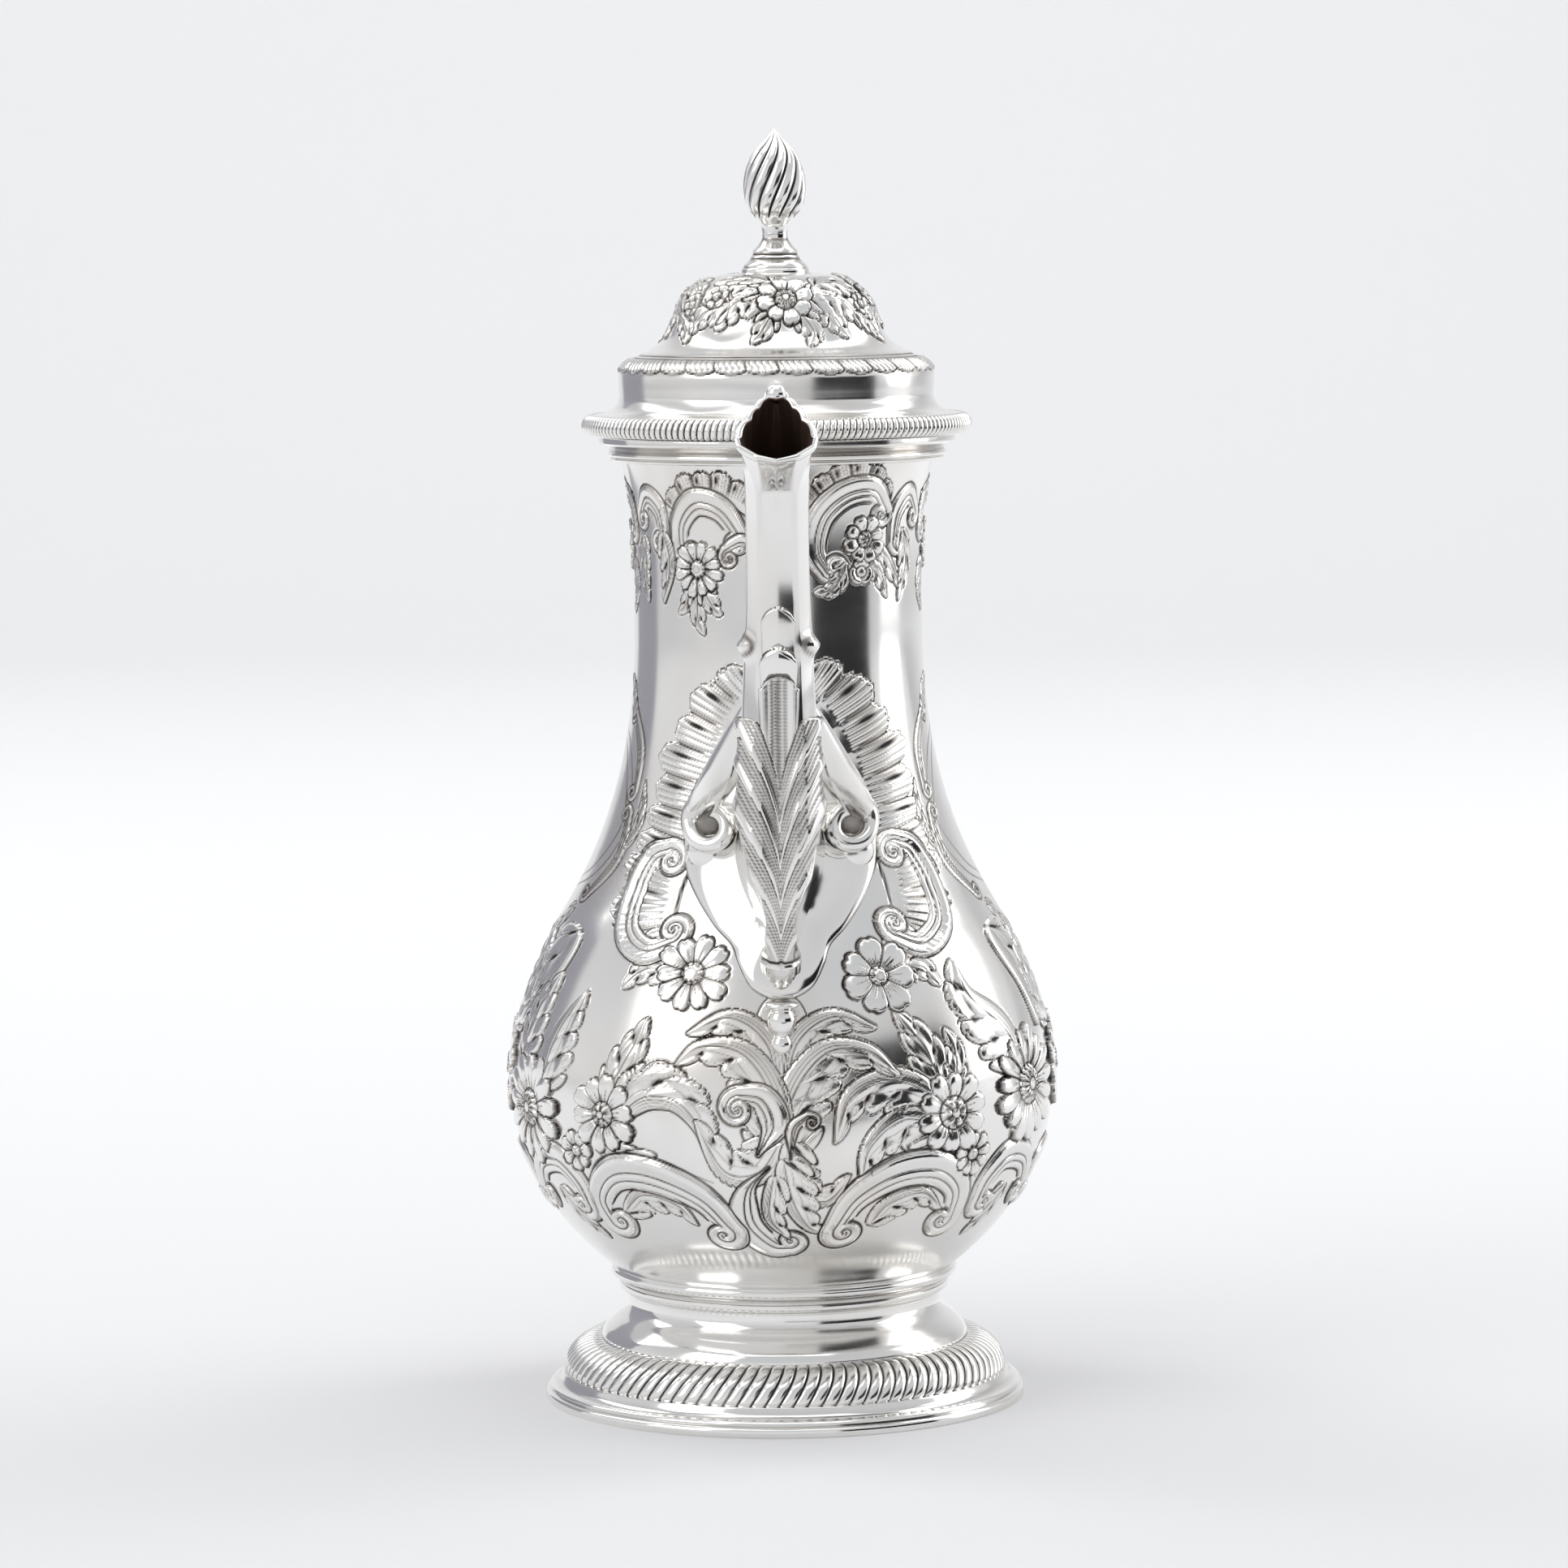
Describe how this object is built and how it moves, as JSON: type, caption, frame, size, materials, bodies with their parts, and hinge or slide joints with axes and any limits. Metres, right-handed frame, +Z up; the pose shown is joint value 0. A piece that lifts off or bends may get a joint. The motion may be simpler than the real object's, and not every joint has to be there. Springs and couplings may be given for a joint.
{
  "type": "coffee pot",
  "caption": "Tall baluster silver coffee pot with leaf-capped spout, hinged domed lid with flame finial, gadrooned foot and scroll wooden handle.",
  "frame": {"origin": "centre of the foot, on the surface it stands on, on the pot's own axis", "axes": "+Z up along the pot's axis, -Y towards the spout, +Y towards the handle, X along the lid's hinge pin"},
  "size_m": [0.1278, 0.2246, 0.3],
  "materials": {
    "silver": "polished, chased, darkened in the recesses",
    "ebonised_wood": "dark, oiled"
  },
  "bodies": {
    "pot": {"body_shell": "silver", "mouth_moulding": "silver", "foot_shell": "silver", "foot_gadroon_border": "silver", "foot_base_rim": "silver", "foot_collar": "silver", "spout_tube": "silver", "spout_neck": "silver", "spout_escutcheon": "silver", "spout_leaf": "silver", "spout_husks": "silver", "spout_volute_left": "silver", "spout_volute_right": "silver", "spout_drop": "silver", "handle_grip": "ebonised_wood", "handle_upper_socket": "silver", "handle_lower_socket": "silver", "handle_upper_pin": "silver", "handle_lower_pin": "silver", "hinge_body_leaf": "silver", "hinge_pin": "silver"},
    "lid": {"lid_shell": "silver", "lid_gadroon_border": "silver", "lid_bezel": "silver", "finial_pedestal": "silver", "finial_flame": "silver", "finial_screw": "silver", "finial_washer": "silver", "finial_nut": "silver", "hinge_lid_leaf": "silver"}
  },
  "joints": [
    {"name": "lid_hinge", "type": "hinge", "parent": "pot", "child": "lid", "pos_m": [0, 0.0482, 0.2294], "axis": [-1, 0, 0], "range_deg": [0, 100]}
  ]
}
